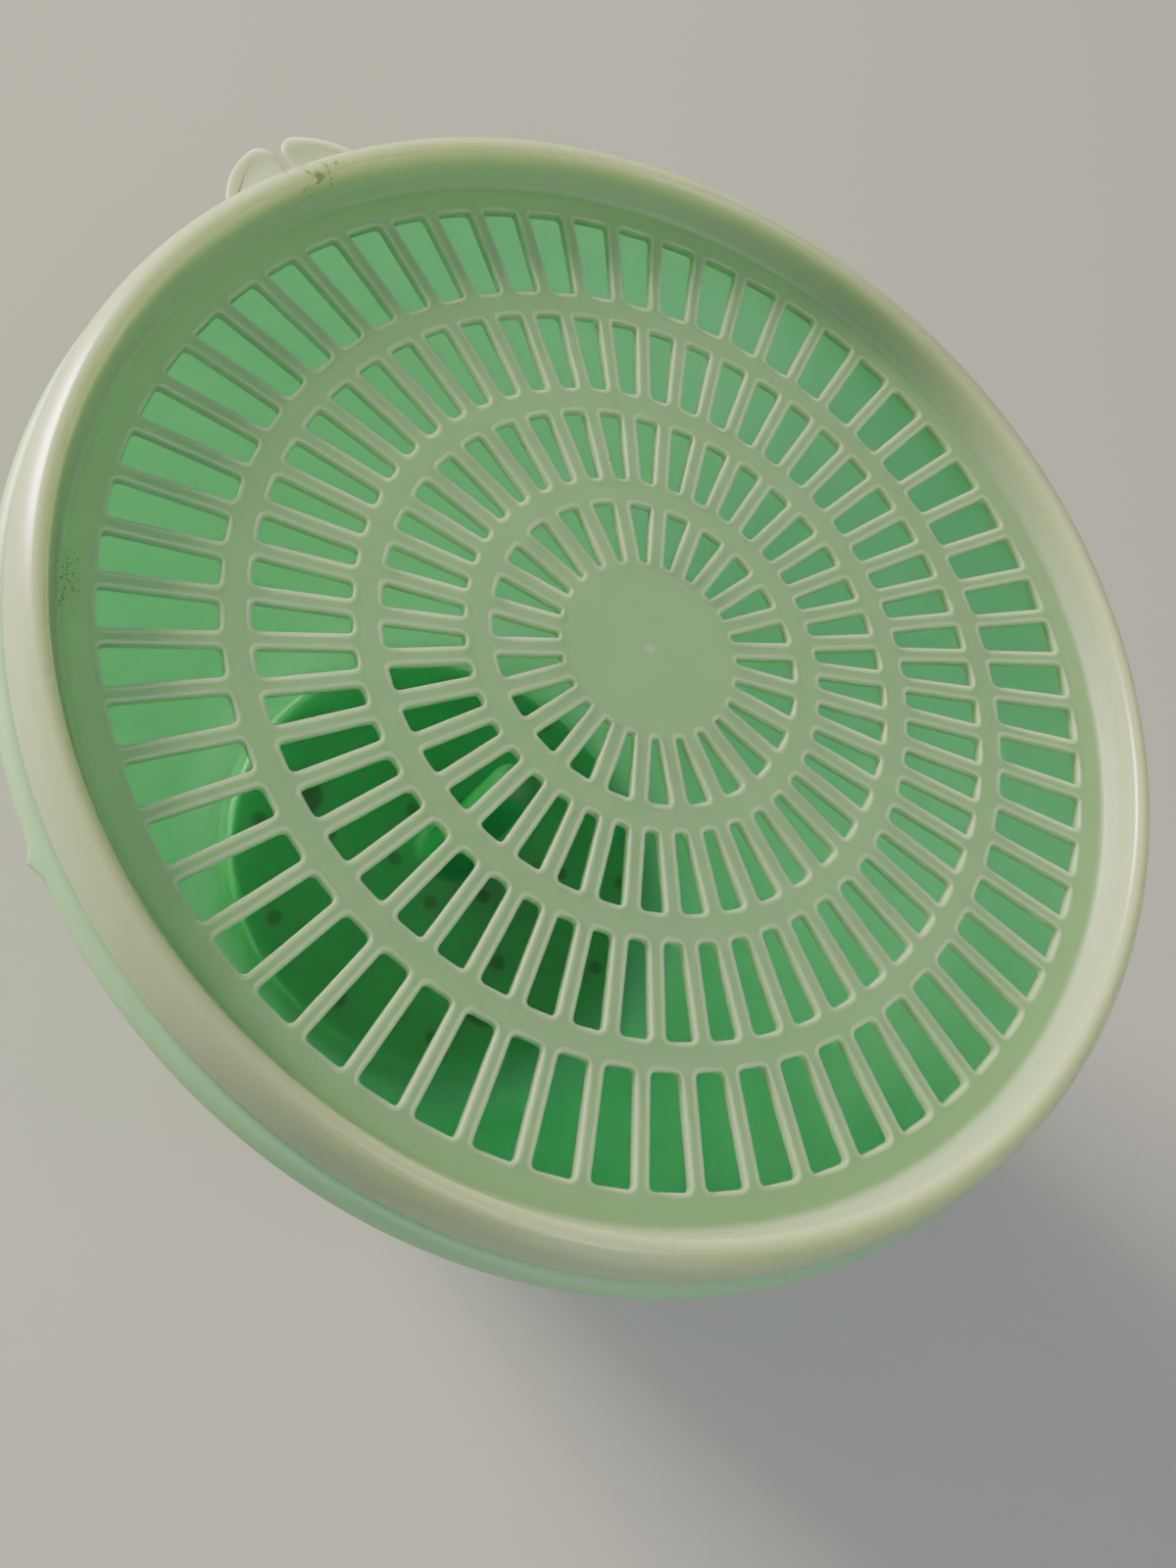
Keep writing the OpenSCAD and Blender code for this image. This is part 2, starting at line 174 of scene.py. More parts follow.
def black_rubber():
    """Soft black rubber, matt, with a dusty bloom in patches."""
    material, tree = new_material("black_rubber")
    place = node(tree, "TexCoord").outputs["Object"]
    bloom = node(tree, "TexNoise", {"Vector": place, "Scale": 180, "Detail": 5, "Roughness": 0.6})
    tint = node(tree, "Mix", {
        "Factor": bloom.outputs["Fac"], "A": linear("#1b1c1c"), "B": linear("#353634")}, data_type="RGBA")
    bump = node(tree, "Bump", {"Height": bloom.outputs["Fac"], "Strength": 0.2, "Distance": 0.1 * MM})
    shader = node(tree, "BsdfPrincipled", {
        "Base Color": tint.outputs["Result"], "Roughness": 0.78, "IOR": 1.52,
        "Normal": bump.outputs["Normal"]})
    node(tree, "OutputMaterial", {"Surface": shader.outputs["BSDF"]})
    return material


def steel(name, light, dark, smooth, dull, scale):
    """Bare or plated steel: two close greys in fine spots, and a shine that varies with them."""
    material, tree = new_material(name)
    place = node(tree, "TexCoord").outputs["Object"]
    spots = node(tree, "TexNoise", {"Vector": place, "Scale": scale, "Detail": 4})
    tint = node(tree, "Mix", {
        "Factor": spots.outputs["Fac"], "A": linear(light), "B": linear(dark)}, data_type="RGBA")
    rough = node(tree, "MapRange", {"Value": spots.outputs["Fac"], "To Min": smooth, "To Max": dull})
    bump = node(tree, "Bump", {"Height": spots.outputs["Fac"], "Strength": 0.08, "Distance": 0.03 * MM})
    shader = node(tree, "BsdfPrincipled", {
        "Base Color": tint.outputs["Result"], "Metallic": 1.0, "Roughness": rough.outputs["Result"],
        "Normal": bump.outputs["Normal"]})
    node(tree, "OutputMaterial", {"Surface": shader.outputs["BSDF"]})
    return material


green_plastic = textured_polypropylene("base_polypropylene", "#0f5428", "#146232")
rubber = black_rubber()
zinc_plate = steel("zinc_plated_steel", "#c6cacb", "#9ea3a2", 0.28, 0.46, 420)
dress(green_plastic, "base_shell", "base_cover")
dress(rubber, "non_slip_feet")
dress(zinc_plate, "cover_screws")

# ---- Spindle and its fasteners ----
# A turned steel pin stands in the base's hub, held by a washer and nut below. A sprung clip over a
# white nylon washer near its top keeps the turntable on.


def white_nylon():
    """Natural nylon: off-white, faintly waxy, with a soft machined grain."""
    material, tree = new_material("white_nylon")
    place = node(tree, "TexCoord").outputs["Object"]
    cloud = node(tree, "TexNoise", {"Vector": place, "Scale": 160, "Detail": 4})
    tint = node(tree, "Mix", {
        "Factor": cloud.outputs["Fac"], "A": linear("#dcd9cb"), "B": linear("#ece9de")}, data_type="RGBA")
    bump = node(tree, "Bump", {"Height": cloud.outputs["Fac"], "Strength": 0.1, "Distance": 0.05 * MM})
    shader = node(tree, "BsdfPrincipled", {
        "Base Color": tint.outputs["Result"], "Roughness": 0.42, "IOR": 1.53, "Subsurface Weight": 0.5,
        "Subsurface Radius": (1.0, 1.0, 0.9), "Subsurface Scale": 1 * MM,
        "Normal": bump.outputs["Normal"]})
    node(tree, "OutputMaterial", {"Surface": shader.outputs["BSDF"]})
    return material


nylon = white_nylon()
turned_steel = steel("turned_steel", "#d2d3d1", "#b3b5b4", 0.20, 0.32, 700)
dress(turned_steel, "spindle")
dress(zinc_plate, "spindle_washer", "spindle_nut")
dress(steel("spring_steel", "#7b7f84", "#5c6066", 0.24, 0.38, 500), "retaining_clip")
dress(nylon, "thrust_washer")

# ---- Ball bearing ----
# Two pressed steel races with twelve polished balls between them in a white nylon cage.
dress(turned_steel, "lower_race", "upper_race")
dress(steel("polished_ball_steel", "#dcdddd", "#cbcccc", 0.06, 0.12, 300), "bearing_balls")
dress(nylon, "ball_cage")

# ---- Turntable ----
# A green polypropylene disc with moulded pips and a hollow boss that stands up in the bowl's post.
# Two bronze bushings in the boss run on the spindle, and three rubber pads on top grip the bowl's floor.


def sintered_bronze():
    """Oil-filled sintered bronze: brown-gold, grainy, with tiny dark pores."""
    material, tree = new_material("sintered_bronze")
    place = node(tree, "TexCoord").outputs["Object"]
    pores = node(tree, "TexVoronoi", {"Vector": place, "Scale": 3500})
    depth = node(tree, "MapRange", {"Value": pores.outputs["Distance"], "From Min": 0.05, "From Max": 0.4})
    tint = node(tree, "Mix", {
        "Factor": depth.outputs["Result"], "A": linear("#5a3f22"), "B": linear("#b08a52")}, data_type="RGBA")
    bump = node(tree, "Bump", {"Height": depth.outputs["Result"], "Strength": 0.3, "Distance": 0.05 * MM})
    shader = node(tree, "BsdfPrincipled", {
        "Base Color": tint.outputs["Result"], "Metallic": 0.9, "Roughness": 0.45,
        "Normal": bump.outputs["Normal"]})
    node(tree, "OutputMaterial", {"Surface": shader.outputs["BSDF"]})
    return material


def shade_pip_tips(material, disc_top, boss_r):
    """Darken what stands up from the disc outside its boss: painted shade on the tips of the pips, where they
    press on the bowl's floor.
    """
    tree = material.node_tree
    colour = next(n for n in tree.nodes if n.type == "BSDF_PRINCIPLED").inputs["Base Color"]
    place = node(tree, "TexCoord").outputs["Object"]
    tip = node(tree, "MapRange", {
        "Value": node(tree, "SeparateXYZ", {"Vector": place}).outputs["Z"],
        "From Min": disc_top + 0.2 * MM, "From Max": disc_top + 0.4 * MM})
    spread = node(tree, "VectorMath", {0: place, 1: (1, 1, 0)}, operation="MULTIPLY")
    spread = node(tree, "VectorMath", {0: spread.outputs["Vector"]}, operation="LENGTH")
    off_boss = node(tree, "Math", {0: spread.outputs["Value"], 1: boss_r}, operation="GREATER_THAN")
    tip = node(tree, "Math", {0: tip.outputs["Result"], 1: off_boss.outputs["Value"]}, operation="MULTIPLY")
    # painted shade: the pip tips go near black where they touch the bowl's floor, and show through it as dark
    # dots
    pip_tip_shade = node(tree, "Mix", {
        "Factor": tip.outputs["Value"], "A": colour.links[0].from_socket, "B": linear("#03140a")},
        data_type="RGBA")
    tree.links.new(pip_tip_shade.outputs["Result"], colour)


pad_sunk = 0.6 * MM  # the pads are set that deep in the disc
turntable_plastic = textured_polypropylene("turntable_polypropylene", "#2aa85c", "#32b466")
shade_pip_tips(turntable_plastic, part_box("grip_pads")[0].z + pad_sunk, 12.5 * MM)
dress(turntable_plastic, "turntable_disc")
dress(green_plastic, "boss_cap")
dress(sintered_bronze(), "lower_bushing", "upper_bushing")
dress(rubber, "grip_pads")

# ---- Bowl ----
# One moulding in green translucent polyethylene, 2 mm thick: flat floor with a hollow post,
# a wall that flares to the rim, a rounded bead below the lid's skirt, and a foot ring.


def arc(centre, radius, start, end, count):
    """Points along an arc, as (radius, height) pairs; the angles are in degrees."""
    angles = [radians(start + (end - start) * i / count) for i in range(count + 1)]
    return [(centre[0] + radius * cos(a), centre[1] + radius * sin(a)) for a in angles]


def curve(a, k, b, count):
    """Points along a smooth curve from a to b that leans towards k."""
    steps = [i / count for i in range(count + 1)]
    return [tuple((1 - t) ** 2 * p + 2 * t * (1 - t) * q + t * t * r for p, q, r in zip(a, k, b))
            for t in steps]


def trace(name, points, flat=False):
    """Draw a line by extruding one corner along the points, upright in XZ or flat in XY; stays in edit mode."""
    place = [Vector((p[0], p[1], 0)) if flat else Vector((p[0], 0, p[1])) for p in points]
    bpy.ops.object.select_all(action="DESELECT")
    bpy.ops.mesh.primitive_plane_add(size=MM)
    line = bpy.context.object
    line.name = name
    bpy.ops.object.mode_set(mode="EDIT")
    bpy.ops.mesh.select_mode(type="VERT")
    bpy.ops.mesh.select_all(action="SELECT")
    bpy.ops.mesh.merge(type="CENTER")
    bpy.ops.transform.translate(value=place[0])
    for before, after in zip(place, place[1:]):
        bpy.ops.mesh.extrude_vertices_move(TRANSFORM_OT_translate={"value": after - before})
    return line


def turn(steps):
    """Spin the traced line once round the Z axis, close its seam and poles, and face it outwards."""
    bpy.ops.mesh.select_all(action="SELECT")
    bpy.ops.mesh.spin(steps=steps, angle=2 * pi, center=(0, 0, 0), axis=(0, 0, 1))
    bpy.ops.mesh.select_all(action="SELECT")
    bpy.ops.mesh.remove_doubles(threshold=0.002 * MM)
    bpy.ops.mesh.normals_make_consistent(inside=False)


def pick(kind, test):
    """In edit mode, select only those "verts", "edges" or "faces" that pass the test."""
    bpy.ops.mesh.select_all(action="DESELECT")
    bpy.ops.mesh.select_mode(type={"verts": "VERT", "edges": "EDGE", "faces": "FACE"}[kind])
    mesh = bmesh.from_edit_mesh(bpy.context.object.data)
    for item in getattr(mesh, kind):
        if test(item):
            item.select_set(True)
    bmesh.update_edit_mesh(bpy.context.object.data)


def finish_mesh(piece, angle=38):
    """Leave edit mode and shade smooth, apart from edges sharper than the angle."""
    bpy.ops.object.mode_set(mode="OBJECT")
    bpy.ops.object.select_all(action="DESELECT")
    piece.select_set(True)
    bpy.context.view_layer.objects.active = piece
    bpy.ops.object.shade_smooth_by_angle(angle=radians(angle))


# the lid's rolled rim, a ring of two radii, which the bowl's rim is sized to fit inside
roll_wall = 1.5 * MM
roll_r = 9.1 * MM
roll_at = (rim_r - 2.3 * MM - roll_r, plate_z + 1.7 * MM)
crest_r = 1.9 * MM
crest_turn = 55
crest_at = arc(roll_at, roll_r - crest_r, crest_turn, crest_turn, 1)[0]
gutter_r = crest_at[0] - crest_r
seat_z = plate_z + 6 * MM  # where the two rims meet

bowl_wall = 2 * MM
bowl_depth = 134 * MM
floor_z = plate_z - bowl_depth
under_z = floor_z - bowl_wall
flat_floor_r = 62 * MM
wall_foot_r = 72 * MM
wall_bulge = 6 * MM
rim_in_r = gutter_r + roll_wall + 0.35 * MM
rim_out_r = rim_in_r + bowl_wall
bead_r = 3 * MM
bead_at = (rim_r - bead_r, plate_z - 5.9 * MM)
bead_turn = acos((rim_out_r - bead_at[0]) / bead_r) * 180 / pi
shoulder_z = plate_z - 10 * MM
post_r = 7.5 * MM
post_top_r = 6.3 * MM
post_top = floor_z + 58 * MM
foot_ring_r = 60.5 * MM
# the turntable's three circles of pips, then its pads, where painted shade darkens the bowl's floor: radius,
# count, first angle, radius of one, in mm
floor_spots = [(15.7, 6, 13.4, 1.5), (34, 6, -2.5, 1.5), (53, 12, -2.4, 1.5), (44, 3, 45.3, 5.5)]


def wall_line(out, count):
    """The floor's curve and the wall, from floor to shoulder, moved out by a distance."""
    corner = Vector((wall_foot_r + 0.7 * out, floor_z - out))
    top = Vector((rim_in_r + out, shoulder_z - 0.3 * out))
    along = (top - corner).normalized()
    lean = (corner + top) / 2 + wall_bulge * Vector((along.y, -along.x))
    start = corner + 12 * MM * (lean - corner).normalized()
    foot = Vector((flat_floor_r, floor_z - out))
    return curve(foot, corner, start, count)[:-1] + curve(start, lean, top, 2 * count)


bowl_section = (
    curve((0, post_top), (post_top_r, post_top), (post_top_r, post_top - post_top_r), 10)
    + [(post_top_r + 0.4 * MM, post_top - 25 * MM)]
    + curve((post_r - 0.1 * MM, floor_z + 5 * MM), (post_r, floor_z), (post_r + 3.5 * MM, floor_z), 8)
    + [(30 * MM, floor_z), (50 * MM, floor_z)]
    + wall_line(0, 14)
    + arc((rim_in_r + 0.6 * MM, seat_z - 0.6 * MM), 0.6 * MM, 180, 90, 4)
    + arc((rim_out_r - 0.6 * MM, seat_z - 0.6 * MM), 0.6 * MM, 90, 0, 4)
    + [(rim_out_r, bead_at[1] + bead_r + 1 * MM)]
    + arc(bead_at, bead_r, bead_turn - 12, -bead_turn + 12, 18)
    + list(reversed(wall_line(bowl_wall, 14)))[1:]
    + [(foot_ring_r + 2.4 * MM, under_z - 1.1 * MM), (foot_ring_r + 2.0 * MM, under_z - 1.5 * MM)]
    + [(foot_ring_r + 0.4 * MM, under_z - 1.5 * MM), (foot_ring_r, under_z - 1.1 * MM)]
    + [(foot_ring_r, under_z - 0.3 * MM), (foot_ring_r - 0.3 * MM, under_z), (30 * MM, under_z)]
    + [(post_r - 1.1 * MM, under_z), (post_r - 1.4 * MM, under_z + 0.3 * MM)]
    + [(post_top_r - 1.4 * MM, post_top - 3.4 * MM), (post_top_r - 1.8 * MM, post_top - 3 * MM)]
    + [(0, post_top - 3 * MM)]
)
bowl_moulding = trace("bowl_moulding", bowl_section)
turn(256)
# a nub of flash is left on the bead at the mould's parting line
flash_turn = radians(-151.5)
flash_way = Vector((cos(flash_turn), sin(flash_turn), 0))
flash_at = rim_r * flash_way + Vector((0, 0, bead_at[1]))
pick("verts", lambda v: (v.co - flash_at).length < 1.6 * MM)
bpy.ops.transform.translate(value=1.3 * MM * flash_way)
finish_mesh(bowl_moulding, 42)


def pressed(tree, spread, turned, circle_r, count, start, spot_r):
    """1 where a circle of round pips or pads presses on the floor from below, fading softly round each: the
    mask of the painted shade there.
    """
    angle = node(tree, "Math", {0: turned, 1: radians(start)}, operation="SUBTRACT")
    angle = node(tree, "Math", {0: angle.outputs["Value"], 1: pi / count, 2: -pi / count}, operation="WRAP")
    along = node(tree, "Math", {0: angle.outputs["Value"]}, operation="COSINE")
    across = node(tree, "Math", {0: angle.outputs["Value"]}, operation="SINE")
    there = node(tree, "CombineXYZ", {"X": along.outputs["Value"], "Y": across.outputs["Value"]})
    there = node(tree, "VectorMath", {0: there.outputs["Vector"], "Scale": spread}, operation="SCALE")
    away = node(tree, "VectorMath", {0: there.outputs["Vector"], 1: (circle_r, 0, 0)}, operation="DISTANCE")
    return node(tree, "MapRange", {
        "Value": away.outputs["Value"], "From Min": spot_r + 1.4 * MM, "From Max": spot_r - 0.4 * MM},
        interpolation_type="SMOOTHSTEP").outputs["Result"]


def green_polyethylene():
    """Green-tinted polyethylene, moulded thin. Light comes through it tinted, so the side towards the light
    glows and the floor over the dark base goes deep green; a pale waxy haze on it shows from outside. The
    floor has painted shade in spots where the turntable's pips and pads press against it."""
    material, tree = new_material("green_polyethylene")
    place = node(tree, "TexCoord").outputs["Object"]
    cloud = node(tree, "TexNoise", {"Vector": place, "Scale": 14, "Detail": 4, "Roughness": 0.5})
    tint = node(tree, "Mix", {
        "Factor": cloud.outputs["Fac"], "A": linear("#70d8a4"), "B": linear("#7cdfac")}, data_type="RGBA")
    rough = node(tree, "MapRange", {"Value": cloud.outputs["Fac"], "To Min": 0.46, "To Max": 0.58})
    spread = node(tree, "VectorMath", {0: place, 1: (1, 1, 0)}, operation="MULTIPLY")
    spread = node(tree, "VectorMath", {0: spread.outputs["Vector"]}, operation="LENGTH")
    corner = node(tree, "SeparateXYZ", {"Vector": place})
    turned = node(tree, "Math", {0: corner.outputs["Y"], 1: corner.outputs["X"]}, operation="ARCTAN2")
    # painted shade: the floor is darkened towards deep green where the pips and pads press on it
    spots = 0.0
    for circle_r, count, start, spot_r in floor_spots:
        spot = pressed(tree, spread.outputs["Value"], turned.outputs["Value"],
                       circle_r * MM, count, start, spot_r * MM)
        spots = node(tree, "Math", {0: spots, 1: spot}, operation="MAXIMUM").outputs["Value"]
    spots = node(tree, "Math", {0: spots, 1: 0.6}, operation="MULTIPLY")
    tint = node(tree, "Mix", {
        "Factor": spots.outputs["Value"], "A": tint.outputs["Result"], "B": linear("#1d5a38")},
        data_type="RGBA")
    at_post = node(tree, "MapRange", {
        "Value": spread.outputs["Value"], "From Min": 12 * MM, "From Max": 8 * MM, "To Max": 0.06})
    at_rim = node(tree, "MapRange", {
        "Value": corner.outputs["Z"], "From Min": shoulder_z - 6 * MM, "From Max": shoulder_z + 2 * MM,
        "To Min": 0.06, "To Max": 0.35})
    milk = node(tree, "Math", {0: at_post.outputs["Result"], 1: at_rim.outputs["Result"]}, operation="MAXIMUM")
    grain = node(tree, "TexNoise", {"Vector": place, "Scale": 700, "Detail": 2})
    bump = node(tree, "Bump", {"Height": grain.outputs["Fac"], "Strength": 0.08, "Distance": 0.05 * MM})
    clear = node(tree, "BsdfPrincipled", {
        "Base Color": tint.outputs["Result"], "Roughness": rough.outputs["Result"], "IOR": 1.51,
        "Transmission Weight": 0.9, "Normal": bump.outputs["Normal"]})
    haze = node(tree, "BsdfPrincipled", {
        "Base Color": linear("#c8e2bc"), "Roughness": 0.36, "IOR": 1.51, "Subsurface Weight": 1.0,
        "Subsurface Radius": (1.0, 1.0, 0.9), "Subsurface Scale": 3 * MM, "Normal": bump.outputs["Normal"]})
    shader = node(tree, "MixShader", {
        "Fac": milk.outputs["Value"], 1: clear.outputs["BSDF"], 2: haze.outputs["BSDF"]})
    node(tree, "OutputMaterial", {"Surface": shader.outputs["Shader"]})
    return material


bowl_moulding.data.materials.append(green_polyethylene())
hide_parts("bowl")
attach(bowl_moulding, "bowl")

# ---- Strainer lid ----
# One moulding in natural low-density polyethylene: a flat plate with four rings of radial slots,
# each with a raised rounded lip, inside a rolled rim that is pressed over the bowl's rim.
plate_t = 2 * MM
plate_r = gutter_r - 1.9 * MM
join_r = plate_r - 3 * MM
seat_turn = asin((seat_z - roll_at[1]) / (roll_r - roll_wall)) * 180 / pi
skirt_end = arc(roll_at, roll_r - roll_wall / 2, -26, -26, 1)[0]

rim_section = (
    [(join_r, plate_z), (plate_r - 1.5 * MM, plate_z)]
    + curve((plate_r - 1.2 * MM, plate_z), (plate_r, plate_z), (plate_r + 0.4 * MM, plate_z + 1.3 * MM), 5)
    + [(plate_r + 1.0 * MM, plate_z + 3.1 * MM), (plate_r + 1.55 * MM, plate_z + 4.9 * MM)]
    + arc(crest_at, crest_r, 180, crest_turn, 9)
    + arc(roll_at, roll_r, crest_turn - 5, -22, 18)
    + arc(skirt_end, roll_wall / 2, -26, -200, 5)
    + arc(roll_at, roll_r - roll_wall, -24, seat_turn, 8)
    + [(gutter_r + roll_wall + 0.3 * MM, seat_z), (gutter_r + roll_wall, seat_z - 0.3 * MM)]
    + [(plate_r + roll_wall, plate_z - 0.2 * MM)]
    + curve((plate_r + 1.3 * MM, plate_z - 1.3 * MM), (plate_r + 0.9 * MM, plate_z - plate_t),
            (plate_r - 0.1 * MM, plate_z - plate_t), 3)
    + [(join_r, plate_z - plate_t)]
)
strainer_lid_moulding = trace("strainer_lid_moulding", rim_section)
turn(216)
bpy.ops.object.mode_set(mode="OBJECT")

hub_r = 20 * MM
margin_w = 6.4 * MM
ring_gap = 5.6 * MM
ring_step = 2.4 * MM  # each ring of slots is this much wider than the one inside it
inner_bar, outer_bar = 3.7 * MM, 3.0 * MM  # between the slots of the first ring and of the last
lip_w = 1.1 * MM
lip_steps = [(0.08, 0), (0.24, 0.15), (0.22, 0.12), (0.24, 0.0), (0.18, -0.12), (0.11, -0.24)]  # in, up, in mm
slot_length = (plate_r - margin_w - hub_r - 3 * ring_gap) / 4
slot_rings = [(24, 2.7), (40, -0.3), (54, 0.15), (60, 1.1)]  # slots, and the first one's angle in degrees


def slot_corner(radius, half_pitch, bar):
    """Where the circle of that radius meets a slot's side, which runs along the middle of a bar."""
    along = sqrt(radius ** 2 - bar ** 2 / 4)
    return Vector((along * cos(half_pitch) + bar / 2 * sin(half_pitch),
                   along * sin(half_pitch) - bar / 2 * cos(half_pitch), 0))


def slot_ring(index, count, start, inner, outer, bar):
    """One slot's lip and walls, shaped from a plane by rounding, inset and extrusion, then spun into a ring."""
    inmost = slot_corner(inner - lip_w, pi / count, bar - 2 * lip_w)
    outmost = slot_corner(outer + lip_w, pi / count, bar - 2 * lip_w)
    bpy.ops.object.select_all(action="DESELECT")
    bpy.ops.mesh.primitive_plane_add(size=MM, location=(0, 0, plate_z))
    bpy.ops.object.transform_apply(location=True, rotation=False, scale=False)
    ring = bpy.context.object
    ring.name = f"slot_ring_{index}"
    ends = [(end.x, side * end.y) for side in (-1, 1) for end in (inmost, outmost)]
    for corner, end in zip(ring.data.vertices, ends):
        corner.co.x, corner.co.y = end
    bpy.ops.object.mode_set(mode="EDIT")
    pick("verts", lambda v: v.co.x < (inmost.x + outmost.x) / 2)
    bpy.ops.mesh.bevel(offset=min(2.2 * MM, 0.8 * inmost.y), segments=4, affect="VERTICES")
    pick("verts", lambda v: v.co.x > outmost.x - 0.01 * MM)
    bpy.ops.mesh.bevel(offset=2.3 * MM, segments=4, affect="VERTICES")
    bpy.ops.mesh.select_all(action="SELECT")
    for inward, rise in lip_steps:
        bpy.ops.mesh.inset(thickness=inward * MM, depth=rise * MM)
    bpy.ops.mesh.extrude_region_move(TRANSFORM_OT_translate={"value": (0, 0, 0.21 * MM - plate_t)})
    bpy.ops.mesh.extrude_region_move(TRANSFORM_OT_translate={"value": (0, 0, -0.12 * MM)})
    bpy.ops.transform.resize(value=(1 + 0.2 * MM / (outer - inner), 1.035, 1))
    bpy.ops.mesh.delete(type="ONLY_FACE")
    bpy.ops.object.mode_set(mode="OBJECT")
    ring.rotation_euler.z = radians(start)
    bpy.ops.object.transform_apply(location=False, rotation=True, scale=False)
    bpy.ops.object.mode_set(mode="EDIT")
    bpy.ops.mesh.select_all(action="SELECT")
    bpy.ops.mesh.spin(steps=count - 1, angle=2 * pi * (count - 1) / count, dupli=True,
                      center=(0, 0, 0), axis=(0, 0, 1))
    bpy.ops.object.mode_set(mode="OBJECT")
    return ring


inner = hub_r
rings = []
for index, (count, start) in enumerate(slot_rings):
    outer = inner + slot_length + (index - 1.5) * ring_step
    bar = inner_bar + (outer_bar - inner_bar) * index / 3
    rings.append(slot_ring(index, count, start, inner, outer, bar))
    inner = outer + ring_gap
for ring in rings:
    ring.select_set(True)
strainer_lid_moulding.select_set(True)
bpy.context.view_layer.objects.active = strainer_lid_moulding
bpy.ops.object.join()
bpy.ops.object.mode_set(mode="EDIT")
for level in (plate_z, plate_z - plate_t):  # the plate's two faces are filled in round the slots
    pick("edges", lambda e: e.is_boundary and all(abs(v.co.z - level) < 0.08 * MM for v in e.verts))
    bpy.ops.mesh.fill(use_beauty=True)
bpy.ops.mesh.select_all(action="SELECT")
bpy.ops.mesh.remove_doubles(threshold=0.002 * MM)
bpy.ops.mesh.normals_make_consistent(inside=False)
finish_mesh(strainer_lid_moulding, 40)


def near(tree, place, centre, reach, fade):
    """1 within reach of a point on the lid, falling softly to 0 over the fade; lengths in metres."""
    away = node(tree, "VectorMath", {0: place, 1: centre}, operation="DISTANCE")
    return node(tree, "MapRange", {
        "Value": away.outputs["Value"], "From Min": reach + fade, "From Max": reach},
        interpolation_type="SMOOTHSTEP").outputs["Result"]


